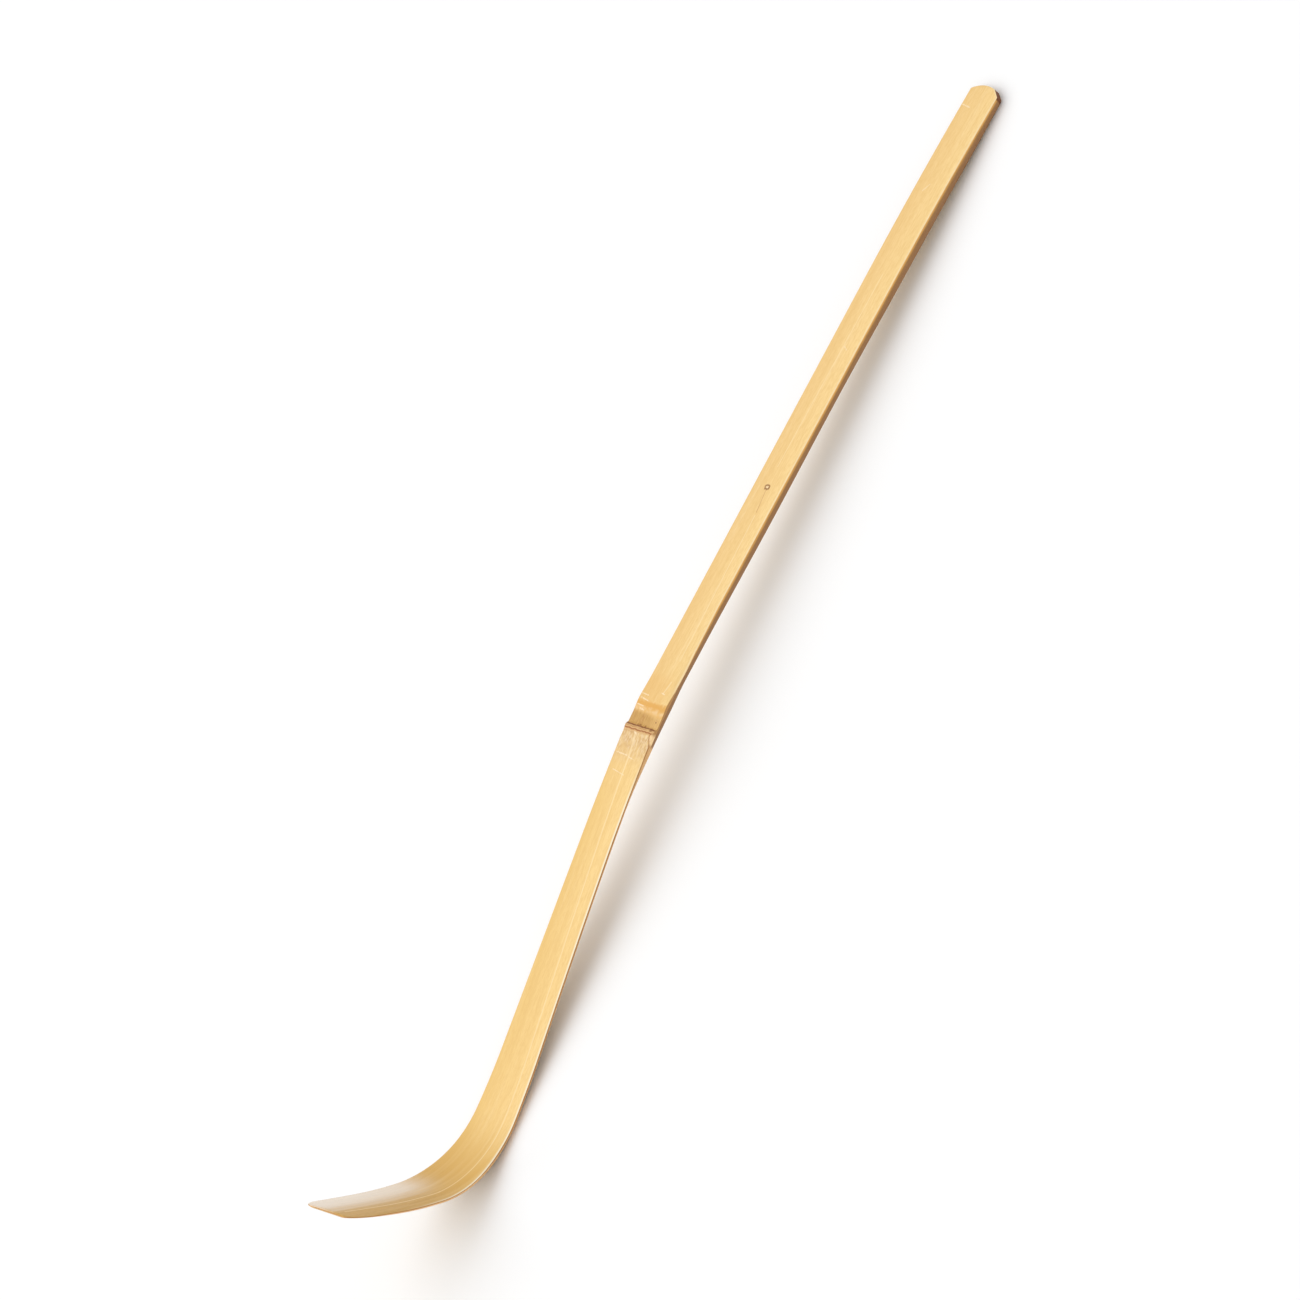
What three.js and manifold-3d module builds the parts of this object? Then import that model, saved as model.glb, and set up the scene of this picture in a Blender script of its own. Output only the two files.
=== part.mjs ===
// A Japanese tea scoop: one strip split from a bamboo culm, whittled and bent over heat.
//
// The grip runs towards +X and the scoop towards -X. The skin of the culm is the upper face, +Z. The
// strip lies as it rests on a table, on the underside of the grip's end and on the outside of the bend,
// with the culm's node arched up between them. The origin is under the middle of its box, on the table.
import * as THREE from "three";
import { mergeVertices } from "three/addons/utils/BufferGeometryUtils.js";
import Module from "manifold-3d";

// Driving dimensions, in millimetres and degrees. A distance "along" counts from the grip's end to the
// tip, on the centre line of the skin face. A heading is the climb of that line towards the tip.
const GRIP_END_HEADING = 3;
const SPANS = [
  { part: "bowed grip end", length: 32.2, turn: -2.7, steps: 8 },
  { part: "straight grip", length: 58, turn: 0, steps: 6 },
  { part: "flare above the node", length: 5.5, turn: 0, steps: 4 },
  { part: "groove above the scar", length: 1.5, turn: 0, steps: 3 },
  { part: "node", length: 4, turn: -8.6, steps: 10 },
  { part: "neck below the node", length: 15.5, turn: -2.7, steps: 9 },
  { part: "shaft", length: 29.8, turn: -0.6, steps: 7 },
  { part: "lead into the bend", length: 9.2, turn: 4.8, steps: 5 },
  { part: "bend", length: 16.5, turn: 55.2, steps: 20 },
  { part: "lead out of the bend", length: 7.3, turn: 6.3, steps: 4 },
  { part: "scoop tip", length: 9, turn: 2, steps: 18 },
];
const LENGTH = SPANS.reduce((sum, span) => sum + span.length, 0);

// Pairs of distance along and size.
const WIDTH = [
  [0, 5.52], [45, 5.38], [92, 5.27], [96.8, 5.58], [100.1, 5.75], [102.3, 5.69], [116, 5.98],
  [150, 7.39], [160, 8.11], [171, 9.6], [184, 10],
];
const THICKNESS = [
  [0, 1.41], [10, 1.61], [26, 1.68], [48, 1.43], [66, 1.52], [86, 1.38], [92, 1.42], [98, 1.63],
  [101.5, 1.55], [112, 1.05], [150, 0.97], [163, 1.1], [172, 0.77], [180, 0.56], [188.5, 0.3],
];
const SIDE_WALL = [
  [0, 0.6], [26, 0.7], [86, 0.55], [92, 0.5], [98, 0.65], [112, 0.35], [165, 0.35], [188.5, 0.15],
];
const BACK_INSET = [[0, 0.3], [86, 0.3], [98, 0.4], [112, 0.65], [188.5, 0.6]];
const SKIN_CROWN = [[0, 0.08], [97, 0.08], [116, 0.1], [155, 0.1], [172, 0.2], [188.5, 0.15]];

// The node: a groove between the swelling's edge and the raised scar of the sheath, whose ends are
// pared away.
const NODE_RELIEF = [
  [96.1, 0], [98.5, -0.3], [99.8, -0.33], [100.4, -0.02], [100.9, 0.06], [101.3, 0.05], [102.1, 0],
];
const SCAR_NOTCH = [[100.4, 0], [101.1, 1], [102.5, 0]];
const NEAR_NOTCH = 0.45;
const FAR_NOTCH = 0.12;

// The tip: its two corners are quarters of an ellipse, the near one longer than the far one.
const TIP_NEAR = { along: 5.5, across: 1.8 };
const TIP_FAR = { along: 2.2, across: 1.3 };

// The grip's end: an arc round the end, one corner cut back straight, and the lower edge pared.
const END_ARC = 4.9;
const END_APEX = -0.05;
const END_CORNER = -1.55;
const END_CUT_SLOPE = 1.14;
const END_CUT_UNDER = { depth: 0.45, along: 1.5 };
const END_MARGIN = 1;
const END_ARC_STEPS = 10;

const ACROSS_STEPS = 4;
const FRONT = 0.5;
const BACK = -0.5;
const CUTTER = 20;
const LEVEL_ROUNDS = 4;
const MERGE_DISTANCE = 1e-4;

const bamboo = new THREE.MeshStandardMaterial({ color: 0xeccb8e, roughness: 0.5, metalness: 0 });

// A smooth curve through pairs of distance and size that never overshoots them: a level stretch stays
// level.
function smoothThrough(pairs) {
  const rise = (i) => (pairs[i + 1][1] - pairs[i][1]) / (pairs[i + 1][0] - pairs[i][0]);
  const slopes = pairs.map((_, i) => {
    if (i === 0 || i === pairs.length - 1) return 0;
    const before = rise(i - 1);
    const after = rise(i);
    return before * after > 0 ? (2 * before * after) / (before + after) : 0;
  });
  return (along) => {
    const last = pairs.length - 1;
    if (along <= pairs[0][0]) return pairs[0][1];
    if (along >= pairs[last][0]) return pairs[last][1];
    const i = pairs.findIndex(([at]) => at > along) - 1;
    const gap = pairs[i + 1][0] - pairs[i][0];
    const t = (along - pairs[i][0]) / gap;
    const keep = (1 + 2 * t) * (1 - t) ** 2;
    const leave = t * (1 - t) ** 2;
    const arrive = t * t * (t - 1);
    const level = keep * pairs[i][1] + (1 - keep) * pairs[i + 1][1];
    return level + gap * (leave * slopes[i] + arrive * slopes[i + 1]);
  };
}

const widthAt = smoothThrough(WIDTH);
const thicknessAt = smoothThrough(THICKNESS);
const wallAt = smoothThrough(SIDE_WALL);
const insetAt = smoothThrough(BACK_INSET);
const crownAt = smoothThrough(SKIN_CROWN);
const reliefAt = smoothThrough(NODE_RELIEF);
const notchAt = smoothThrough(SCAR_NOTCH);

// The stations of the centre line, walked span by span along arcs from the grip's end.
function centreLine() {
  const stations = [{ along: 0, x: 0, z: 0, heading: GRIP_END_HEADING }];
  for (const { length, turn, steps } of SPANS) {
    for (let step = 0; step < steps; step += 1) {
      const from = stations.at(-1);
      const course = THREE.MathUtils.degToRad(from.heading + turn / steps / 2);
      stations.push({
        along: from.along + length / steps,
        x: from.x - (Math.cos(course) * length) / steps,
        z: from.z + (Math.sin(course) * length) / steps,
        heading: from.heading + turn / steps,
      });
    }
  }
  return stations;
}

// Half the strip's width on one side, less the rounding of that side's corner of the tip.
function halfWidthAt(along, corner) {
  const into = Math.min(1, Math.max(0, (along - (LENGTH - corner.along)) / corner.along));
  return widthAt(along) / 2 - corner.across * (1 - Math.sqrt(1 - into * into));
}

// A point of the cross-section: side runs from -0.5 to 0.5 across, level is the skin, the foot of the
// side wall or the underside. The result is the place across and the height over the centre line.
function sectionPoint(along, side, level) {
  const nearEdge = -halfWidthAt(along, TIP_NEAR);
  const farEdge = halfWidthAt(along, TIP_FAR);
  const middle = (nearEdge + farEdge) / 2;
  const width = farEdge - nearEdge;
  if (level === FRONT) {
    const edge = 4 * side * side;
    const notch = notchAt(along) * (side < 0 ? NEAR_NOTCH : FAR_NOTCH) * edge;
    const height = crownAt(along) * (1 - edge) + reliefAt(along);
    return [middle + side * width - Math.sign(side) * notch, height];
  }
  if (level === BACK) return [middle + side * (width - 2 * insetAt(along)), -thicknessAt(along)];
  return [middle + side * width, -wallAt(along)];
}

// The whole strip: a box divided along its length, its vertices moved to the sections of the centre
// line.
function stripGeometry() {
  const stations = centreLine();
  const steps = stations.length - 1;
  const geometry = new THREE.BoxGeometry(1, 1, 1, steps, ACROSS_STEPS, 2);
  const position = geometry.getAttribute("position");
  for (let i = 0; i < position.count; i += 1) {
    const { along, x, z, heading } = stations[Math.round((0.5 - position.getX(i)) * steps)];
    const [across, height] = sectionPoint(along, position.getY(i), position.getZ(i));
    const climb = THREE.MathUtils.degToRad(heading);
    position.setXYZ(i, x + Math.sin(climb) * height, across, z + Math.cos(climb) * height);
  }
  return geometry;
}

// A block whose inner face goes through a point and faces along a direction: it takes off what lies
// beyond.
function cutterBeyond(point, direction) {
  const facing = new THREE.Quaternion().setFromUnitVectors(new THREE.Vector3(0, 0, 1), direction);
  return new THREE.BoxGeometry(CUTTER, CUTTER, CUTTER)
    .translate(0, 0, CUTTER / 2)
    .applyQuaternion(facing)
    .translate(point.x, point.y, point.z);
}

// A plate with the outline of the grip's end cut out of it: it takes off what lies outside that
// outline.
function endOutlineCutter() {
  const half = WIDTH[0][1] / 2 + END_MARGIN;
  const cornerAngle = Math.asin((END_CORNER - END_APEX) / END_ARC);
  const farAngle = Math.asin((half - END_APEX) / END_ARC);
  const cornerAlong = END_ARC * (1 - Math.cos(cornerAngle));
  const outline = new THREE.Shape();
  outline.moveTo(-cornerAlong - (half + END_CORNER) / END_CUT_SLOPE, -half);
  outline.absarc(-END_ARC, END_APEX, END_ARC, cornerAngle, farAngle, false);
  outline.lineTo(CUTTER, half);
  outline.lineTo(CUTTER, -half);
  outline.closePath();
  const plate = new THREE.ExtrudeGeometry(outline, {
    depth: CUTTER,
    bevelEnabled: false,
    curveSegments: END_ARC_STEPS,
  });
  return plate.translate(0, 0, -CUTTER / 2);
}

function endCutters() {
  const under = END_CUT_UNDER;
  const lowerEdge = new THREE.Vector3(0, 0, under.depth - THICKNESS[0][1]);
  const paring = new THREE.Vector3(under.depth, 0, -under.along).normalize();
  return [endOutlineCutter(), cutterBeyond(lowerEdge, paring)];
}

const wasm = await Module();
wasm.setup();

function toSolid(geometry) {
  const bare = geometry.clone();
  bare.deleteAttribute("normal");
  bare.deleteAttribute("uv");
  const merged = mergeVertices(bare, MERGE_DISTANCE);
  return new wasm.Manifold(
    new wasm.Mesh({
      numProp: 3,
      vertProperties: merged.getAttribute("position").array,
      triVerts: new Uint32Array(merged.index.array),
    }),
  );
}

function toGeometry(solid) {
  const mesh = solid.getMesh();
  const geometry = new THREE.BufferGeometry();
  geometry.setAttribute("position", new THREE.BufferAttribute(mesh.vertProperties, 3));
  geometry.setIndex(new THREE.BufferAttribute(mesh.triVerts, 1));
  return geometry;
}

// The lowest vertex on one side of the box's middle: 1 for the grip's half, -1 for the scoop's half.
function lowestVertex(geometry, half) {
  geometry.computeBoundingBox();
  const middle = geometry.boundingBox.getCenter(new THREE.Vector3()).x;
  const position = geometry.getAttribute("position");
  let lowest = new THREE.Vector3(0, 0, Infinity);
  for (let i = 0; i < position.count; i += 1) {
    const vertex = new THREE.Vector3().fromBufferAttribute(position, i);
    if ((vertex.x - middle) * half > 0 && vertex.z < lowest.z) lowest = vertex;
  }
  return lowest;
}

// Turns the strip until both of its resting places are on the table, then puts the origin under its
// middle.
function layOnTable(geometry) {
  for (let round = 0; round < LEVEL_ROUNDS; round += 1) {
    const scoop = lowestVertex(geometry, -1);
    const grip = lowestVertex(geometry, 1);
    geometry.rotateY(Math.atan2(grip.z - scoop.z, grip.x - scoop.x));
  }
  geometry.computeBoundingBox();
  const centre = geometry.boundingBox.getCenter(new THREE.Vector3());
  geometry.translate(-centre.x, -centre.y, -geometry.boundingBox.min.z);
}

function bambooStrip() {
  let solid = toSolid(stripGeometry());
  for (const cutter of endCutters()) solid = solid.subtract(toSolid(cutter));
  const geometry = toGeometry(solid);
  layOnTable(geometry);
  const shaded = geometry.toNonIndexed();
  shaded.computeVertexNormals();
  const mesh = new THREE.Mesh(shaded, bamboo);
  mesh.name = "bamboo_strip";
  return mesh;
}

const teaScoop = new THREE.Group();
teaScoop.add(bambooStrip());

export default teaScoop;
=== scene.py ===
# A bamboo tea scoop on a pale table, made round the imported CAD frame. Blender 4.5.
import math

import bmesh
import bpy
import numpy as np
from mathutils import Matrix, Vector


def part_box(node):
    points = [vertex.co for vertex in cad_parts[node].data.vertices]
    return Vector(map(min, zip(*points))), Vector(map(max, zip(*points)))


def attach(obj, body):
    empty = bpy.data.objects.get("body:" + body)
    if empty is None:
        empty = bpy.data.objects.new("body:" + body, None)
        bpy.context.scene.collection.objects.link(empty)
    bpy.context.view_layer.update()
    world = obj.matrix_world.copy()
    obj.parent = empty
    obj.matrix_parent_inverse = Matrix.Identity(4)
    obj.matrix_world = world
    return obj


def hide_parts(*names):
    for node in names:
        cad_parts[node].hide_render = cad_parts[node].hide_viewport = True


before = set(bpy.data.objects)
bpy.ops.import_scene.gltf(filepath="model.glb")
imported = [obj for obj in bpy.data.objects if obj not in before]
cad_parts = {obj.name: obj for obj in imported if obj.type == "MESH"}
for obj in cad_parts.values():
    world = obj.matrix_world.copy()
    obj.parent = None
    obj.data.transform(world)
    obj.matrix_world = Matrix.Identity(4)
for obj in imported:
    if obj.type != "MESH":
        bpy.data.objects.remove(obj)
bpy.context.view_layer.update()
NODE = "bamboo_strip"
MM = 0.001

# ---------------------------------------------------------------- camera
CAMERA_AZIMUTH = -11.5
CAMERA_ELEVATION = 42.89
CAMERA_ROLL = -56.46
CAMERA_DISTANCE = 3.0
VIEW_WIDTH = 0.17438
AIM = Vector((-0.00125, 0.0, 0.01248))
SENSOR = 36.0


def make_camera():
    azimuth, elevation = math.radians(CAMERA_AZIMUTH), math.radians(CAMERA_ELEVATION)
    level = math.cos(elevation)
    back = Vector((math.sin(azimuth) * level, -math.cos(azimuth) * level, math.sin(elevation)))
    data = bpy.data.cameras.new("camera")
    data.sensor_width = SENSOR
    data.lens = SENSOR * CAMERA_DISTANCE / VIEW_WIDTH
    data.clip_start = 0.1
    data.clip_end = 30.0
    camera = bpy.data.objects.new("camera", data)
    upright = (-back).to_track_quat("-Z", "Y").to_matrix()
    roll = Matrix.Rotation(math.radians(CAMERA_ROLL), 3, "Z")
    camera.matrix_world = Matrix.Translation(AIM + back * CAMERA_DISTANCE) @ (upright @ roll).to_4x4()
    bpy.context.collection.objects.link(camera)
    bpy.context.scene.camera = camera


# ---------------------------------------------------------------- form, in millimetres and degrees
# A distance "along" counts from the grip's end to the tip, on the centre line of the skin face. "Across" is
# from that line, with the near side negative. Each pair in a list is a distance along and the size there.
GRIP_END_HEADING = 3.0
SPANS = [  # length, turn
    (32.2, -2.7),
    (65.0, 0.0),
    (4.0, -8.6),
    (15.5, -2.7),
    (29.8, -0.6),
    (9.2, 4.8),
    (16.5, 55.2),
    (7.3, 6.3),
    (9.0, 2.0),
]
LENGTH = sum(length for length, _ in SPANS)
WIDTH = [
    (0, 5.52), (45, 5.38), (92, 5.27), (96.8, 5.58), (100.1, 5.75), (102.3, 5.69), (116, 5.98), (150, 7.39),
    (160, 8.11), (171, 9.6), (184, 10),
]
THICKNESS = [
    (0, 1.41), (10, 1.61), (26, 1.68), (48, 1.43), (66, 1.52), (86, 1.38), (92, 1.42), (98, 1.63),
    (101.5, 1.55), (112, 1.05), (150, 0.97), (163, 1.1), (172, 0.77), (180, 0.56), (188.5, 0.3),
]
SIDE_WALL = [
    (0, 0.6), (26, 0.7), (86, 0.55), (92, 0.5), (98, 0.65), (112, 0.35), (165, 0.35), (188.5, 0.15),
]
BACK_INSET = [(0, 0.3), (86, 0.3), (98, 0.4), (112, 0.65), (188.5, 0.6)]
SKIN_CROWN = [(0, 0.08), (97, 0.08), (116, 0.1), (155, 0.1), (172, 0.2), (188.5, 0.15)]
NODE_RELIEF = [
    (96.1, 0), (98.5, -0.3), (99.8, -0.33), (100.4, -0.02), (100.9, 0.06), (101.3, 0.05), (102.1, 0),
]

# The notch pared at each end of the node's scar: how fully it is cut along the strip, and its two depths.
SCAR_NOTCH = [(100.4, 0), (101.1, 1), (102.5, 0)]
NEAR_NOTCH = 0.45
FAR_NOTCH = 0.12

# The lines pressed into the scar: place along and depth.
SCAR_LINES = [(100.2, 0.045), (100.85, 0.03)]
SCAR_LINE_WIDTH = 0.12

# How far the near edge of the skin swells out over the side wall, its drop for each millimetre out, and how
# far in from the edge the skin is drawn down with it.
NEAR_SWELL = [
    (81, 0), (84, 0.06), (88, 0.13), (92, 0.26), (94, 0.23), (96, 0.11), (98.5, 0.04), (106, 0.08),
    (112, 0.05), (118, 0.02), (152, 0.02), (160, 0.05), (168, 0.14), (180, 0.1), (188.5, 0),
]
NEAR_SWELL_DROP = 0.7
NEAR_SWELL_WIDTH = 0.5

# The tip's two corners: how far from the tip each begins, and how far it draws in.
TIP_NEAR = (5.5, 1.8)
TIP_FAR = (2.2, 1.3)

# The grip's end: the radius and apex of its round outline, the corner where the straight cut starts and the
# cut's slope, and the paring under it as (height, length).
END_ARC = 4.9
END_APEX = -0.05
END_CORNER = -1.55
END_CUT_SLOPE = 1.14
END_CUT_UNDER = (0.45, 1.5)

# The fine mesh. Stations along: a number crowded into the grip's end, then stretches of (start, step).
END_STATIONS = 44
STATION_STEPS = [
    (1.8, 0.1), (3, 0.5), (94, 0.1), (98, 0.05), (103.5, 0.4), (150, 0.25), (182, 0.12), (186.5, 0.05),
]

# The faces round a section, from the skin over the far side to the near side: points across each, and its
# zone, which is 0 on the skin, 1 on a side wall, 2 on a bevel and 3 on the underside.
FACE_POINTS = [26, 3, 3, 16, 3, 3]
FACE_ZONES = [0, 1, 2, 3, 2, 1]

# The rounding of the section's corners, which takes at most a share of each side, and of both end faces.
ARRIS_POINTS = 5
ARRIS_RADIUS = {"skin": 0.07, "foot": 0.12, "back": 0.15}
ARRIS_SHARE = 0.45
END_RADIUS = 0.1

LEVEL_ROUNDS = 4
MERGE_DISTANCE = 0.001
TINY = 1e-6


def smooth_through(pairs):
    """A smooth curve through pairs of distance and size that never overshoots them."""
    x, y = np.array(pairs, float).T
    rise = np.diff(y) / np.diff(x)
    slope = np.zeros(len(x))
    for i in range(1, len(x) - 1):
        if rise[i - 1] * rise[i] > 0:
            slope[i] = 2 * rise[i - 1] * rise[i] / (rise[i - 1] + rise[i])

    def curve(along):
        along = np.clip(along, x[0], x[-1])
        i = np.clip(np.searchsorted(x, along, side="right") - 1, 0, len(x) - 2)
        gap = x[i + 1] - x[i]
        t = (along - x[i]) / gap
        keep = (1 + 2 * t) * (1 - t) ** 2
        ends = t * (1 - t) ** 2 * slope[i] + t * t * (t - 1) * slope[i + 1]
        return keep * y[i] + (1 - keep) * y[i + 1] + gap * ends

    return curve


def stations_along():
    starts = STATION_STEPS + [(LENGTH, None)]
    pieces = [STATION_STEPS[0][0] * np.linspace(0, 1, END_STATIONS, endpoint=False) ** 2]
    for (start, step), (stop, _) in zip(starts, starts[1:]):
        pieces.append(np.linspace(start, stop, round((stop - start) / step), endpoint=False))
    return np.append(np.concatenate(pieces), LENGTH)


def centre_line(along):
    """The centre line's x, z and heading (radians) at distances along, walked in small steps."""
    step = 0.05
    fine = np.arange(0, LENGTH + step, step)
    knots = np.cumsum([0] + [length for length, _ in SPANS])
    headings = GRIP_END_HEADING + np.cumsum([0] + [turn for _, turn in SPANS])
    heading = np.radians(np.interp(fine, knots, headings))
    course = (heading[1:] + heading[:-1]) / 2
    x = np.append(0, -np.cumsum(np.cos(course)) * step)
    z = np.append(0, np.cumsum(np.sin(course)) * step)
    return np.interp(along, fine, x), np.interp(along, fine, z), np.interp(along, fine, heading)


def half_width(along, corner):
    """Half the strip's width, less the rounding of one of the tip's corners, given as (along, across)."""
    into = np.clip((along - (LENGTH - corner[0])) / corner[0], 0, 1)
    return smooth_through(WIDTH)(along) / 2 - corner[1] * (1 - np.sqrt(1 - into * into))


def end_round(along):
    """How far the section draws in at both ends, so that the end faces have soft edges."""
    from_end = np.minimum(along, LENGTH - along)
    left = np.clip(1 - from_end / END_RADIUS, 0, 1)
    return END_RADIUS * (1 - np.sqrt(1 - left * left))


def section_corners(along):
    """Six corners of each section as (name, across, height), from the near skin edge to the near foot."""
    near_half = half_width(along, TIP_NEAR)
    far_half = half_width(along, TIP_FAR)
    inset = smooth_through(BACK_INSET)(along)
    notch = smooth_through(SCAR_NOTCH)(along)
    relief = smooth_through(NODE_RELIEF)(along)
    swell = smooth_through(NEAR_SWELL)(along)
    wall = smooth_through(SIDE_WALL)(along)
    thickness = smooth_through(THICKNESS)(along)
    draw = end_round(along)
    arc = np.sqrt(END_ARC ** 2 - np.clip(END_ARC - along, 0, None) ** 2)
    corner_along = END_ARC - math.sqrt(END_ARC ** 2 - (END_CORNER - END_APEX) ** 2)
    near_cut = np.maximum(END_CORNER - END_CUT_SLOPE * (along - corner_along), END_APEX - arc)
    far_cut = END_APEX + np.where(along < END_ARC, arc, LENGTH)
    pared = END_CUT_UNDER[0] * np.clip(1 - along / END_CUT_UNDER[1], 0, 1)

    def near(across):
        return np.minimum(np.maximum(across, near_cut) + draw, END_APEX)

    def far(across):
        return np.maximum(np.minimum(across, far_cut) - draw, END_APEX)

    under = -thickness + pared + draw
    foot = np.maximum(-wall, under)
    return [
        ("skin", near(-near_half + NEAR_NOTCH * notch - swell), relief - NEAR_SWELL_DROP * swell - draw),
        ("skin", far(far_half - FAR_NOTCH * notch), relief - draw),
        ("foot", far(far_half), foot),
        ("back", far(far_half - inset), under),
        ("back", near(-near_half + inset), under),
        ("foot", near(-near_half), foot),
    ]


def round_corner(before, corner, after, radius):
    """Points on a small curve over a corner. The corners hold a place for each station."""
    def pull(other):
        away = other - corner
        reach = np.linalg.norm(away, axis=1, keepdims=True)
        return corner + away * np.minimum(radius / np.maximum(reach, TINY), ARRIS_SHARE)

    start, stop = pull(before), pull(after)
    t = np.linspace(0, 1, ARRIS_POINTS)[:, None, None]
    return (1 - t) ** 2 * start + 2 * t * (1 - t) * corner + t * t * stop


def straight(start, stop, points):
    """Points strictly between two rows of section points."""
    t = np.linspace(0, 1, points + 2)[1:-1, None, None]
    return start + (stop - start) * t


def section_loops(along):
    """The strip's sections as (loop point, station, across or height), the zone of each loop point, and its
    gaps from the near and the far edge of the skin."""
    corners = section_corners(along)
    places = [np.stack([across, height], axis=1) for _, across, height in corners]
    count = len(corners)
    rounded = []
    for i, (name, _, _) in enumerate(corners):
        after = places[(i + 1) % count]
        rounded.append(round_corner(places[i - 1], places[i], after, ARRIS_RADIUS[name]))
    rows, zones = [], []
    half = ARRIS_POINTS // 2
    for i in range(count):
        rows.append(rounded[i])
        rows.append(straight(rounded[i][-1], rounded[(i + 1) % count][0], FACE_POINTS[i]))
        zones += [FACE_ZONES[i - 1]] * half + [FACE_ZONES[i]] * (ARRIS_POINTS - half + FACE_POINTS[i])
    loops = np.concatenate(rows)
    zones = np.array(zones, float)
    near, far = places[0][:, 0], places[1][:, 0]
    side = (loops[:, :, 0] - near) / np.maximum(far - near, TINY) - 0.5
    crown = smooth_through(SKIN_CROWN)(along) * np.clip(1 - 4 * side * side, 0, None)
    scar = sum(depth * np.exp(-((along - at) / SCAR_LINE_WIDTH) ** 2) for at, depth in SCAR_LINES)
    inside = 1 - np.exp(-(np.clip(loops[:, :, 0] - near, 0, None) / NEAR_SWELL_WIDTH) ** 2)
    lift = NEAR_SWELL_DROP * smooth_through(NEAR_SWELL)(along) * (0.5 - side) * inside
    loops[:, :, 1] += (zones == 0)[:, None] * (crown + lift - scar)
    gaps = np.stack([loops[:, :, 0] - near, far - loops[:, :, 0]])
    return loops, zones, gaps


def lay_on_table(points):
    """Turns the strip until both of its resting places are level, then puts it where the CAD node lies."""
    for _ in range(LEVEL_ROUNDS):
        middle = (points[:, 0].min() + points[:, 0].max()) / 2
        grip = points[points[:, 0] > middle]
        scoop = points[points[:, 0] < middle]
        grip = grip[grip[:, 2].argmin()]
        scoop = scoop[scoop[:, 2].argmin()]
        turn = math.atan2(grip[2] - scoop[2], grip[0] - scoop[0])
        x = points[:, 0] * math.cos(turn) + points[:, 2] * math.sin(turn)
        z = -points[:, 0] * math.sin(turn) + points[:, 2] * math.cos(turn)
        points = np.stack([x, points[:, 1], z], axis=1)
    low, high = (np.array(corner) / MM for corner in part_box(NODE))
    points[:, 0] += (low[0] + high[0]) / 2 - (points[:, 0].min() + points[:, 0].max()) / 2
    points[:, 1] += (low[1] + high[1]) / 2
    points[:, 2] += low[2] - points[:, 2].min()
    return points * MM


def strip_faces(ring, count):
    """Faces between the strip's rings of points, and over its two ends."""
    here = np.arange(ring)
    after = (here + 1) % ring
    faces = []
    for station in range(count - 1):
        a, b = station * ring, (station + 1) * ring
        faces += np.stack([a + here, a + after, b + after, b + here], axis=1).tolist()
    faces.append(list(range(ring))[::-1])
    faces.append(list(range((count - 1) * ring, count * ring)))
    return faces


def merge_close_points(mesh):
    """Closes up the points that fall together where the outline runs out, at the grip's end."""
    form = bmesh.new()
    form.from_mesh(mesh)
    bmesh.ops.remove_doubles(form, verts=form.verts, dist=MERGE_DISTANCE * MM)
    bmesh.ops.dissolve_degenerate(form, edges=form.edges, dist=MERGE_DISTANCE * MM)
    form.to_mesh(mesh)
    form.free()


def make_strip():
    along = stations_along()
    x, z, heading = centre_line(along)
    loops, zones, gaps = section_loops(along)
    ring, count = loops.shape[:2]
    across, height = loops[:, :, 0].T, loops[:, :, 1].T
    points = np.stack([x[:, None] + np.sin(heading)[:, None] * height, across,
                       z[:, None] + np.cos(heading)[:, None] * height], axis=2)
    points = lay_on_table(points.reshape(-1, 3))
    mesh = bpy.data.meshes.new("tea_scoop_strip")
    mesh.from_pydata(points.tolist(), [], strip_faces(ring, count))
    values = {
        "along": np.repeat(along, ring),
        "across": across.reshape(-1),
        "depth": -(height - smooth_through(NODE_RELIEF)(along)[:, None]).reshape(-1),
        "zone": np.tile(zones, count),
        "near_gap": gaps[0].T.reshape(-1),
        "far_gap": gaps[1].T.reshape(-1),
    }
    for name, value in values.items():
        mesh.attributes.new(name, "FLOAT", "POINT").data.foreach_set("value", value.astype(np.float32))
    merge_close_points(mesh)
    mesh.polygons.foreach_set("use_smooth", np.ones(len(mesh.polygons), bool))
    mesh.update()
    strip = bpy.data.objects.new("tea_scoop_strip", mesh)
    bpy.context.collection.objects.link(strip)
    return strip


# ---------------------------------------------------------------- bamboo
# Colours are what the eye should see, 0 to 255. A face's light is how bright a white sheet there looks.
SKIN_LIGHT = 1.05
WALL_LIGHT = 0.62
BEVEL_LIGHT = 0.5

# Colours of the skin, from the grip's end to the tip. Each far colour is its near one darkened by painted
# shade.
SKIN_FAR_SHADE = (239, 200, 133)
SKIN_NEAR = (251, 217, 150)
SHAFT_NEAR = (250, 215, 146)
SHAFT_FAR_SHADE = (236, 197, 120)
BEND_NEAR = (226, 179, 94)
BEND_FAR_SHADE = (214, 167, 84)
SCOOP_NEAR = (197, 152, 72)
# Painted sheen: a whitish colour laid on the scoop's far half in place of its reflection.
SCOOP_PAINTED_SHEEN = (248, 236, 220)
STREAK_DARK = (224, 180, 104)
STREAK_PALE = (255, 230, 180)
# Painted highlight along the near edge of the skin.
ARRIS_HIGHLIGHT = (255, 244, 214)

# Colours at the node.
ORANGE_BAND = (226, 167, 76)
GROOVE = (202, 156, 82)
GROOVE_NEAR = (226, 182, 110)
SCAR_PALE = (221, 178, 119)
SCAR_DARK = (130, 64, 16)
SCAR_RED = (166, 98, 40)
MOTTLE = (208, 164, 106)
BELOW_NODE = (229, 192, 130)
SPECK = (140, 88, 42)
SCRATCH = (252, 228, 188)
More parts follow.
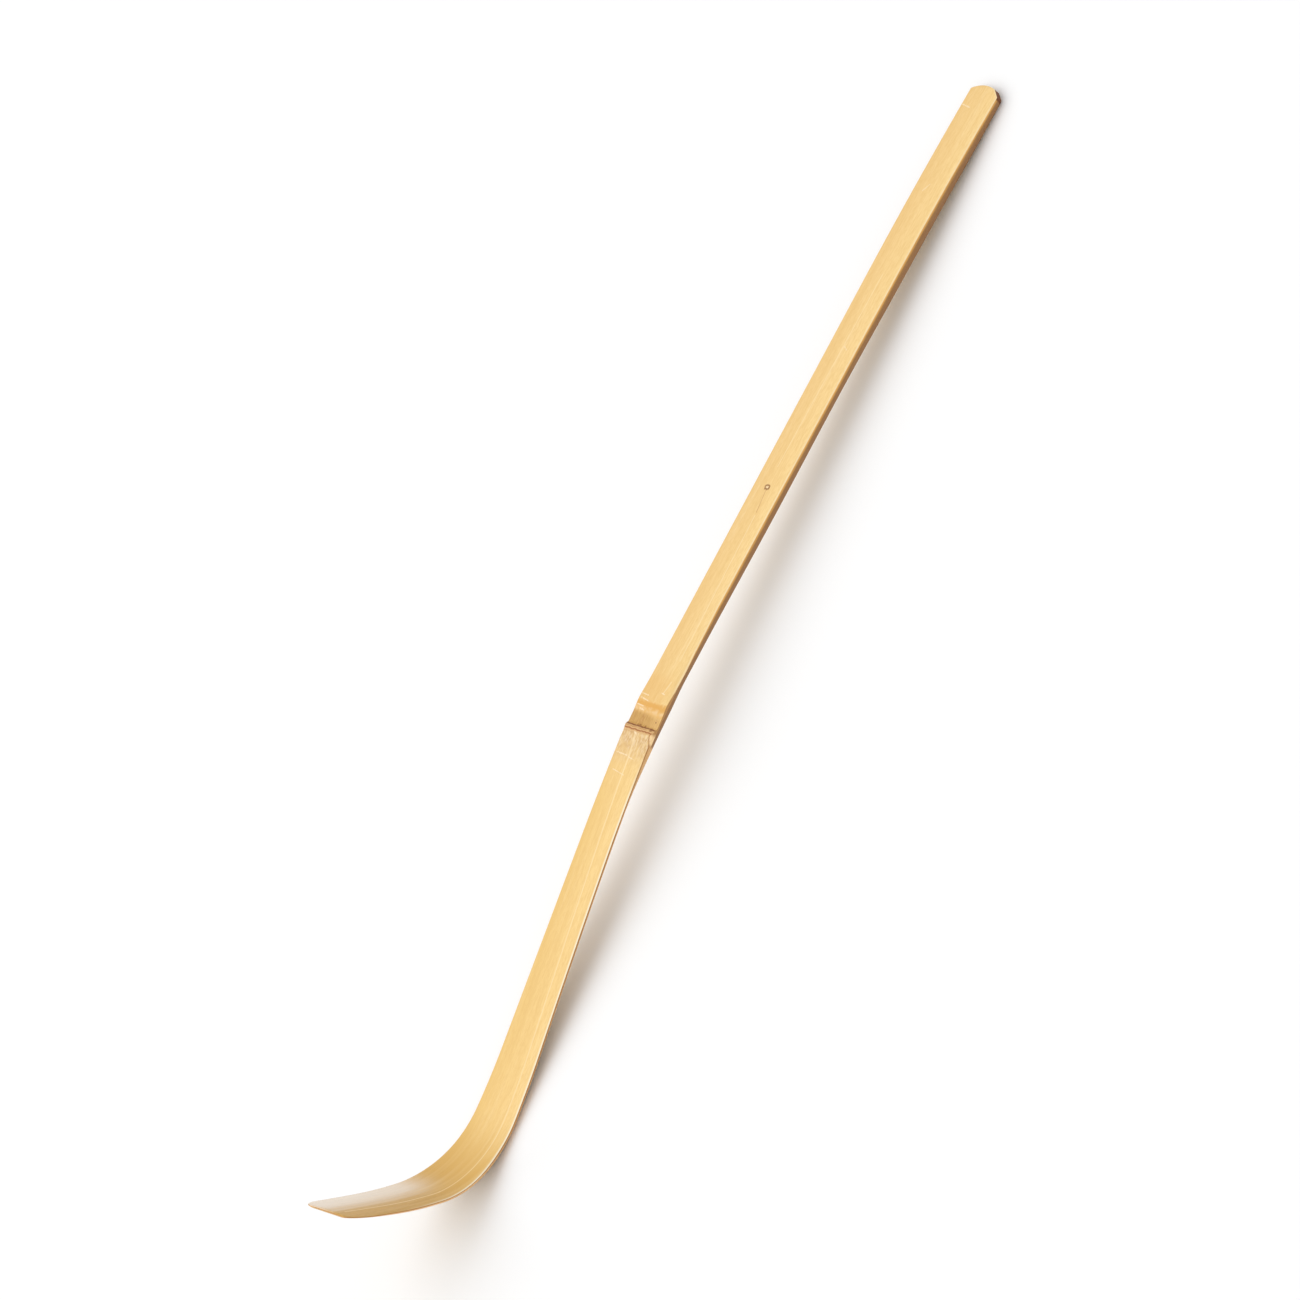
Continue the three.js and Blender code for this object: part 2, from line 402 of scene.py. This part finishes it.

# Colours of the cut faces.
# The walls go from golden at the top to darker at the foot: painted highlight and painted shade.
WALL_TOP = (200, 150, 78)
WALL_FOOT_SHADE = (136, 98, 58)
WALL_NODE = (160, 118, 70)
WALL_NOTCH = (228, 198, 150)
WALL_NECK = (152, 104, 54)
# The bevel's dark brown is partly its own colour and partly painted shade.
BEVEL_BROWN_AND_SHADE = (118, 85, 54)
BEVEL_NECK = (172, 136, 92)
UNDERSIDE = (216, 184, 132)
FLECK = (112, 76, 40)
# Painted shade on the facets pared at the grip's end.
END_FACET_SHADE = (98, 56, 28)

# Marks on the skin as places (along, across) in millimetres: a spot with its radius, a line with its width.
SPECKS = [
    ((100.0, 0.75), 0.1),
    ((100.0, 0.3), 0.15),
    ((100.05, 0.08), 0.12),
    ((100.0, -0.75), 0.15),
    ((99.1, -2.2), 0.13),
    ((100.3, -2.2), 0.3),
]
BUD_SCAR = ((63.2, 0.0), 0.34, 0.24)
BUD_CRACK = ((63.6, -0.05), (67.0, -0.48), 0.1)
PALE_SCRATCHES = [
    ((3.5, 2.45), (3.7, 0.95), 0.16),
    ((15.8, 0.2), (17.0, 0.9), 0.1),
    ((41.2, -0.3), (41.6, -1.0), 0.1),
    ((95.7, 2.5), (95.8, 1.2), 0.14),
    ((96.3, 2.3), (96.6, 0.6), 0.14),
    ((95.0, -0.9), (95.1, -1.5), 0.14),
    ((97.3, 2.5), (97.4, 1.3), 0.15),
    ((97.8, 1.7), (97.9, 0.9), 0.15),
    ((101.2, 0.4), (101.3, 0.1), 0.2),
    ((104.4, 2.3), (104.5, 0.2), 0.14),
    ((104.7, -0.4), (104.8, -1.2), 0.12),
    ((106.8, 1.8), (107.2, -0.6), 0.1),
]
# Pale fibre lines. From the node to the tip they are partly a painted highlight along a faint ridge.
PALE_LINES = [
    ((30.0, -0.2), (60.0, 0.1), 0.1),
    ((67.5, -0.5), (90.0, -1.1), 0.12),
    ((93.2, -1.55), (95.0, -1.2), 0.2),
    ((101.3, 0.2), (104.6, -0.2), 0.24),
    ((104.6, -0.2), (171.0, -2.6), 0.16),
    ((171.0, -2.6), (187.0, -1.8), 0.18),
]

# Noises drawn out along the fibres: length and width in millimetres, and detail.
STREAKS = (30, 1.1, 3)
FINE = (5, 0.22, 3)
SPECKLE = (0.8, 0.15, 2)
PATCHES = (0.9, 0.9, 3)
WANDER = (3, 0.6, 2)
FLECKS = (3, 0.14, 1)

# A fade is the value at which a mask is gone and the one at which it is full. These go by distance along.
NECK_FADE = (100, 112)
BEND_FADE = (154, 168)
SCOOP_FADE = (164, 176)
SHEEN_FADE = (167, 174)
WARM_FADES = [(91.5, 94), (98.5, 96)]
GROOVE_START = (98.2, 99.0)
GROOVE_STOP = (100.3, 100.15)
BELOW_NODE_FADES = [(100.6, 101.2), (106.5, 101.5)]
GRIP_HIGHLIGHT_FADE = (96, 93)
SHAFT_HIGHLIGHT_FADES = [(103, 112), (182, 166)]
WALL_NODE_FADE = (92, 96)
WALL_NECK_FADE = (102.2, 102.8)
END_SHADE_FADE = (1.75, 1.5)

# These fades go by distance across, in from the near edge, or down from the skin.
SHEEN_ACROSS = (-2.4, 2.6)
GROOVE_GAP = (0.3, 2.4)
HIGHLIGHT_GAP = (0.4, 0.05)
NOTCH_GAP = (0.2, 0.05)
WALL_SHADE_DEPTH = (0.06, 0.5)
NECK_DEPTH = (0.36, 0.2)

# These fades go by zone.
SKIN_ZONE = (0.7, 0.3)
BEVEL_ZONE = (1.3, 1.7)
UNDERSIDE_ZONE = (2.3, 2.7)
END_SHADE_ZONE = (2.8, 2.4)

# Bands round the node: low edge, high edge and softness, by distance along.
ORANGE_WIDE = (97.0, 98.6, 0.4)
ORANGE_LINE = (96.6, 97.4, 0.25)
PALE_BAND = (97.5, 98.1, 0.3)
SCAR_RIDGE = (100.2, 101.15, 0.12)
NOTCH_BAND = (100.8, 102.6, 0.2)
NOTCH_WALL = (100.9, 102.3, 0.4)
SCAR_LINE_SOFT = 0.07

# How far noises move the marks, in millimetres, and how far the groove's start slants over the skin.
NODE_SWAY = 0.35
ORANGE_SWAY = 1.1
BUD_SWAY = 0.5
SHEEN_SWAYS = (2.0, 3.0)
GROOVE_SLANT = 0.5

# The surface: how rough it is, how it shines and how deep its grain is.
SKIN_ROUGHNESS = 0.44
SHEEN_SMOOTHING = 0.12
ROUGHNESS_SWAY = 0.2
CUT_ROUGHNESS = 0.62
SPECULAR = 0.3
COAT_ROUGHNESS = 0.25
COAT_IOR = 1.9
SKIN_GRAIN = 0.35
STREAK_GRAIN = 0.4
BUMP_STRENGTH = 0.5
BUMP_DEPTH = 0.06


def paint(colour, light):
    """The surface colour, linear with alpha, that looks like colour where white looks like light."""
    linear = []
    for value in colour:
        value /= 255
        linear.append((value / 12.92 if value <= 0.04045 else ((value + 0.055) / 1.055) ** 2.4) / light)
    return (*linear, 1.0)


def skin_look(colour):
    return paint(colour, SKIN_LIGHT)


def wall_look(colour):
    return paint(colour, WALL_LIGHT)


def bevel_look(colour):
    return paint(colour, BEVEL_LIGHT)


class Shader:
    """Short calls for laying out a material's nodes."""

    def __init__(self, name):
        self.material = bpy.data.materials.new(name)
        self.material.use_nodes = True
        self.tree = self.material.node_tree
        self.surface = self.tree.nodes["Principled BSDF"]

    def put(self, socket, value):
        if isinstance(value, bpy.types.NodeSocket):
            self.tree.links.new(value, socket)
        else:
            socket.default_value = value

    def node(self, kind, values, **settings):
        made = self.tree.nodes.new("ShaderNode" + kind)
        for name, value in settings.items():
            setattr(made, name, value)
        for name, value in values.items():
            self.put(made.inputs[name], value)
        return made

    def attribute(self, name):
        return self.node("Attribute", {}, attribute_name=name).outputs["Fac"]

    def math(self, operation, first, second=0.0, clamp=False):
        return self.node("Math", {0: first, 1: second}, operation=operation, use_clamp=clamp).outputs[0]

    def times(self, *values):
        result = values[0]
        for value in values[1:]:
            result = self.math("MULTIPLY", result, value)
        return result

    def sway(self, value, noise, amount):
        """value moved by up to half of amount either way, as the noise says."""
        return self.math("ADD", value, self.times(self.math("SUBTRACT", noise, 0.5), amount))

    def fade(self, value, gone, full):
        """0 where value is at gone or beyond, 1 where it is at full or beyond, smooth between."""
        ends = {"Value": value, "From Min": min(gone, full), "From Max": max(gone, full)}
        rise = self.node("MapRange", ends, interpolation_type="SMOOTHSTEP").outputs["Result"]
        return rise if gone < full else self.math("SUBTRACT", 1.0, rise)

    def fades(self, value, *pairs):
        return self.times(*(self.fade(value, gone, full) for gone, full in pairs))

    def band(self, value, low, high, soft):
        return self.fades(value, (low - soft, low + soft), (high + soft, high - soft))

    def lay(self, under, over, mask, amount=1.0):
        """The colour over laid on the colour under, where the mask says."""
        values = {0: self.times(mask, amount), 6: under, 7: over}
        return self.node("Mix", values, data_type="RGBA").outputs[2]

    def place(self, x, y, z=0.0):
        return self.node("CombineXYZ", {"X": x, "Y": y, "Z": z}).outputs[0]

    def noise(self, place, detail):
        values = {"Vector": place, "Scale": 1.0, "Detail": detail}
        return self.node("TexNoise", values).outputs["Fac"]

    def gap(self, place, point):
        values = {0: place, 1: (*point, 0)}
        return self.node("VectorMath", values, operation="DISTANCE").outputs["Value"]

    def spot(self, place, centre, radius):
        return self.fade(self.gap(place, centre), radius * 1.3, radius * 0.4)

    def line(self, place, start, stop, width):
        run = Vector((stop[0] - start[0], stop[1] - start[1], 0))
        away = self.node("VectorMath", {0: place, 1: (*start, 0)}, operation="SUBTRACT").outputs[0]
        reach = self.node("VectorMath", {0: away, 1: run / run.length_squared}, operation="DOT_PRODUCT")
        share = self.math("ADD", reach.outputs["Value"], 0.0, clamp=True)
        foot = self.node("VectorMath", {0: run, "Scale": share}, operation="SCALE").outputs[0]
        side = self.node("VectorMath", {0: away, 1: foot}, operation="DISTANCE").outputs["Value"]
        return self.fade(side, width, width * 0.2)


class Layers:
    """A colour that is built up by laying others on it."""

    def __init__(self, shader, colour):
        self.shader = shader
        self.colour = colour

    def lay(self, colour, amount, *masks):
        """Lays on this much of a colour, where all the masks say."""
        self.colour = self.shader.lay(self.colour, colour, self.shader.times(*masks), amount)


class Strip:
    """The places on the strip that its colours are laid by, and the noises along its fibres."""

    def __init__(self, shader):
        self.shader = shader
        self.along, self.across = shader.attribute("along"), shader.attribute("across")
        self.depth, self.zone = shader.attribute("depth"), shader.attribute("zone")
        self.near_gap, self.far_gap = shader.attribute("near_gap"), shader.attribute("far_gap")
        self.flat = shader.place(self.along, self.across)
        self.share = shader.math("DIVIDE", self.near_gap, shader.math("ADD", self.near_gap, self.far_gap))
        self.streaks = self.fibres(*STREAKS)
        self.fine = self.fibres(*FINE)
        self.speckle = self.fibres(*SPECKLE)
        self.patches = self.fibres(*PATCHES)
        self.wander = self.fibres(*WANDER)
        self.flecks = self.fibres(*FLECKS)
        self.on_skin = shader.fade(self.zone, *SKIN_ZONE)
        # The scoop's far half, which takes a painted sheen and a glossy coat, with a frayed edge.
        frayed = shader.sway(self.across, self.streaks, SHEEN_SWAYS[0])
        frayed = shader.sway(frayed, self.fine, SHEEN_SWAYS[1])
        self.sheen_patch = shader.times(shader.fade(frayed, *SHEEN_ACROSS), shader.fade(self.along, *SHEEN_FADE))

    def fibres(self, length, width, detail):
        """Noise drawn out along the strip: about length by width, in millimetres."""
        sizes = ((self.along, length), (self.across, width), (self.depth, width))
        place = self.shader.place(*(self.shader.math("DIVIDE", *pair) for pair in sizes))
        return self.shader.noise(place, detail)


def bamboo_skin(shader, strip):
    """The skin's colours along the strip, painted shade on its far side, fibre streaks and a painted sheen
    on the scoop.
    """
    # Painted shade: the far colour is laid on towards the far side of the skin.
    def shaded(near, far):
        return shader.lay(skin_look(near), skin_look(far), strip.share)

    skin = Layers(shader, shaded(SKIN_NEAR, SKIN_FAR_SHADE))
    skin.lay(shaded(SHAFT_NEAR, SHAFT_FAR_SHADE), 1.0, shader.fade(strip.along, *NECK_FADE))
    skin.lay(shaded(BEND_NEAR, BEND_FAR_SHADE), 1.0, shader.fade(strip.along, *BEND_FADE))
    skin.lay(skin_look(SCOOP_NEAR), 1.0, shader.fade(strip.along, *SCOOP_FADE))
    for noise, gone, full, colour, amount in (
        (strip.streaks, 0.55, 0.3, STREAK_DARK, 0.22),
        (strip.streaks, 0.5, 0.75, STREAK_PALE, 0.2),
        (strip.fine, 0.6, 0.3, STREAK_DARK, 0.25),
        (strip.speckle, 0.6, 0.35, STREAK_DARK, 0.3),
    ):
        skin.lay(skin_look(colour), amount, shader.fade(noise, gone, full))
    # Painted sheen on the scoop's far half, under the same mask that gives it its coat.
    skin.lay(skin_look(SCOOP_PAINTED_SHEEN), 0.38, strip.sheen_patch)
    return skin


def node_edge(shader, strip, skin, shifted):
    """The orange edge of the swelling, with its pale brushed band."""
    ragged = shader.sway(shifted, strip.patches, ORANGE_SWAY)
    patchy = shader.fade(strip.patches, 0.36, 0.56)
    warm = shader.fades(shifted, *WARM_FADES)
    skin.lay(skin_look(ORANGE_BAND), 0.25, warm, shader.fade(strip.share, 0, 0.35))
    skin.lay(skin_look(ORANGE_BAND), 0.6, shader.band(ragged, *ORANGE_WIDE))
    skin.lay(skin_look(ORANGE_BAND), 0.85, shader.band(ragged, *ORANGE_LINE))
    skin.lay(skin_look(SCRATCH), 0.35, shader.band(shifted, *PALE_BAND), patchy)


def below_node(shader, strip, skin):
    """The mottled skin from the scar down, with painted shade deepening its far side."""
    below = shader.fades(strip.along, *BELOW_NODE_FADES)
    skin.lay(skin_look(BELOW_NODE), 1.0, below)
    skin.lay(skin_look(MOTTLE), 0.65, below, shader.fade(strip.patches, 0.62, 0.4))
    skin.lay(skin_look(SCRATCH), 0.55, below, shader.fade(strip.speckle, 0.45, 0.6))
    # Painted shade on the far side below the node.
    skin.lay(skin_look(MOTTLE), 0.15, below, shader.fade(strip.share, 0.35, 0.65))


def node_groove(shader, strip, skin, shifted):
    """The ochre groove between the swelling and the scar."""
    slanted = shader.math("ADD", shifted, shader.times(strip.share, GROOVE_SLANT))
    groove = shader.times(shader.fade(slanted, *GROOVE_START), shader.fade(shifted, *GROOVE_STOP))
    bed = shader.lay(skin_look(GROOVE_NEAR), skin_look(GROOVE), shader.fade(strip.near_gap, *GROOVE_GAP))
    skin.lay(bed, 1.0, groove)
    skin.lay(skin_look(SCAR_RED), 0.35, groove, shader.fade(strip.fine, 0.6, 0.35))
    skin.lay(skin_look(GROOVE_NEAR), 0.4, groove, shader.fade(strip.speckle, 0.45, 0.65))


def node_scar(shader, strip, skin, shifted):
    """The sheath's scar: a pale ridge with brown lines along it."""
    skin.lay(skin_look(SCAR_PALE), 1.0, shader.band(shifted, *SCAR_RIDGE))
    for at, width, colour, amount, mask in (
        (100.22, 0.22, SCAR_DARK, 0.88, shader.fade(strip.patches, 0.2, 0.45)),
        (100.5, 0.1, SCAR_RED, 0.7, shader.fade(strip.patches, 0.36, 0.56)),
        (100.82, 0.2, SCAR_RED, 0.95, shader.fade(strip.patches, 0.2, 0.4)),
        (101.25, 0.12, MOTTLE, 0.95, shader.fade(strip.across, -0.4, 0.6)),
    ):
        line = shader.band(shifted, at - width / 2, at + width / 2, SCAR_LINE_SOFT)
        skin.lay(skin_look(colour), amount, line, mask)


def skin_marks(shader, strip, skin):
    """The pale fibre lines, partly painted highlight, the scratches, the specks, and the bud's scar with
    its hair crack.
    """
    for start, stop, width in PALE_LINES:
        skin.lay(skin_look(STREAK_PALE), 0.5, shader.line(strip.flat, start, stop, width))
    broken = shader.fade(strip.speckle, 0.25, 0.5)
    for start, stop, width in PALE_SCRATCHES:
        skin.lay(skin_look(SCRATCH), 0.75, shader.line(strip.flat, start, stop, width), broken)
    for centre, radius in SPECKS:
        skin.lay(skin_look(SPECK), 0.75, shader.spot(strip.flat, centre, radius))
    centre, radius, width = BUD_SCAR
    away = shader.sway(shader.gap(strip.flat, centre), strip.speckle, BUD_SWAY)
    ring = shader.band(away, radius - width / 2, radius + width / 2, width / 2)
    skin.lay(skin_look(SPECK), 0.9, ring)
    skin.lay(skin_look(SCRATCH), 0.8, shader.fade(away, radius * 0.7, radius * 0.3))
    skin.lay(skin_look(SCAR_RED), 0.45, shader.line(strip.flat, *BUD_CRACK))


def near_edge_highlight(shader, strip, skin):
    """A painted highlight along the near edge of the skin, and the dark edge of the pared scar."""
    edge = shader.fade(strip.near_gap, *HIGHLIGHT_GAP)
    notch = shader.fade(strip.near_gap, *NOTCH_GAP)
    # Painted highlight along the near edge: faint on the grip, strong on the shaft and bend.
    skin.lay(skin_look(ARRIS_HIGHLIGHT), 0.35, edge, shader.fade(strip.along, *GRIP_HIGHLIGHT_FADE))
    skin.lay(skin_look(ARRIS_HIGHLIGHT), 0.95, edge, shader.fades(strip.along, *SHAFT_HIGHLIGHT_FADES))
    skin.lay(skin_look(SCAR_RED), 0.8, notch, shader.band(strip.along, *NOTCH_BAND))


def bamboo_cuts(shader, strip):
    """Colours of the side walls, bevels, underside and pared end, with painted shade on the walls, bevels
    and end.
    """
    along, depth, zone = strip.along, strip.depth, strip.zone
    neck = shader.fade(along, *WALL_NECK_FADE)
    cuts = Layers(shader, wall_look(WALL_TOP))
    # Painted shade darkening the walls towards their foot.
    cuts.lay(wall_look(WALL_FOOT_SHADE), 1.0, shader.fade(depth, *WALL_SHADE_DEPTH))
    cuts.lay(wall_look(WALL_NODE), 1.0, shader.fade(along, *WALL_NODE_FADE))
    cuts.lay(wall_look(WALL_NOTCH), 0.9, shader.band(along, *NOTCH_WALL))
    cuts.lay(bevel_look(BEVEL_NECK), 1.0, neck)
    cuts.lay(wall_look(WALL_NECK), 1.0, neck, shader.fade(depth, *NECK_DEPTH))
    # Bevels in dark brown, partly painted shade.
    bevel = shader.lay(bevel_look(BEVEL_BROWN_AND_SHADE), bevel_look(BEVEL_NECK), neck)
    cuts.lay(bevel, 1.0, shader.fade(zone, *BEVEL_ZONE))
    cuts.lay(skin_look(UNDERSIDE), 1.0, shader.fade(zone, *UNDERSIDE_ZONE))
    cuts.lay(wall_look(FLECK), 0.4, shader.fade(strip.flecks, 0.62, 0.72))
    cuts.lay(wall_look(FLECK), 0.25, shader.fade(strip.fine, 0.6, 0.3))
    # Painted shade on the pared facets at the grip's end.
    cuts.lay(wall_look(END_FACET_SHADE), 1.0, shader.fade(along, *END_SHADE_FADE), shader.fade(zone, *END_SHADE_ZONE))
    return cuts


def bamboo_material():
    shader = Shader("bamboo")
    strip = Strip(shader)
    shifted = shader.sway(strip.along, strip.wander, NODE_SWAY)
    skin = bamboo_skin(shader, strip)
    node_edge(shader, strip, skin, shifted)
    below_node(shader, strip, skin)
    node_groove(shader, strip, skin, shifted)
    node_scar(shader, strip, skin, shifted)
    skin_marks(shader, strip, skin)
    near_edge_highlight(shader, strip, skin)
    cuts = bamboo_cuts(shader, strip)

    smooth = shader.math("SUBTRACT", SKIN_ROUGHNESS, shader.times(strip.sheen_patch, SHEEN_SMOOTHING))
    gloss = shader.sway(smooth, strip.fine, ROUGHNESS_SWAY)
    grain = shader.node("Mix", {0: strip.on_skin, 2: 1.0, 3: SKIN_GRAIN}).outputs[0]
    ridges = shader.math("ADD", strip.fine, shader.times(strip.streaks, STREAK_GRAIN))
    height = shader.times(ridges, grain)
    bump = shader.node("Bump", {"Strength": BUMP_STRENGTH, "Distance": BUMP_DEPTH * MM, "Height": height})
    for name, value in {
        "Base Color": shader.lay(cuts.colour, skin.colour, strip.on_skin),
        "Roughness": shader.node("Mix", {0: strip.on_skin, 2: CUT_ROUGHNESS, 3: gloss}).outputs[0],
        "Specular IOR Level": SPECULAR,
        "Coat Weight": shader.times(strip.sheen_patch, strip.on_skin),
        "Coat Roughness": COAT_ROUGHNESS,
        "Coat IOR": COAT_IOR,
        "Normal": bump.outputs["Normal"],
    }.items():
        shader.put(shader.surface.inputs[name], value)
    return shader.material


# ---------------------------------------------------------------- floor and light
FLOOR_SIZE = 12.0
FLOOR_ALBEDO = 0.92
FLOOR_ROUGHNESS = 0.9
SKY = 0.68
KEY_WATTS = 62.0
KEY_SIZE = 4.0
KEY_PLACE = Vector((-0.6, 1.2, 2.4))


def make_floor():
    bpy.ops.mesh.primitive_plane_add(size=FLOOR_SIZE, location=(0, 0, 0))
    floor = bpy.context.object
    floor.name = "floor"
    shader = Shader("floor")
    shader.put(shader.surface.inputs["Base Color"], (FLOOR_ALBEDO, FLOOR_ALBEDO, FLOOR_ALBEDO, 1.0))
    shader.put(shader.surface.inputs["Roughness"], FLOOR_ROUGHNESS)
    floor.data.materials.append(shader.material)


def make_light():
    world = bpy.data.worlds.new("sky")
    world.use_nodes = True
    world.node_tree.nodes["Background"].inputs["Color"].default_value = (1.0, 1.0, 1.0, 1.0)
    world.node_tree.nodes["Background"].inputs["Strength"].default_value = SKY
    bpy.context.scene.world = world
    data = bpy.data.lights.new("key", "AREA")
    data.energy = KEY_WATTS
    data.size = KEY_SIZE
    key = bpy.data.objects.new("key", data)
    key.location = KEY_PLACE
    key.rotation_mode = "QUATERNION"
    key.rotation_quaternion = (-KEY_PLACE).to_track_quat("-Z", "Y")
    bpy.context.collection.objects.link(key)
    bpy.context.scene.view_settings.view_transform = "Standard"


make_camera()
strip = make_strip()
strip.data.materials.append(bamboo_material())
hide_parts(NODE)
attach(strip, "root")
make_floor()
make_light()
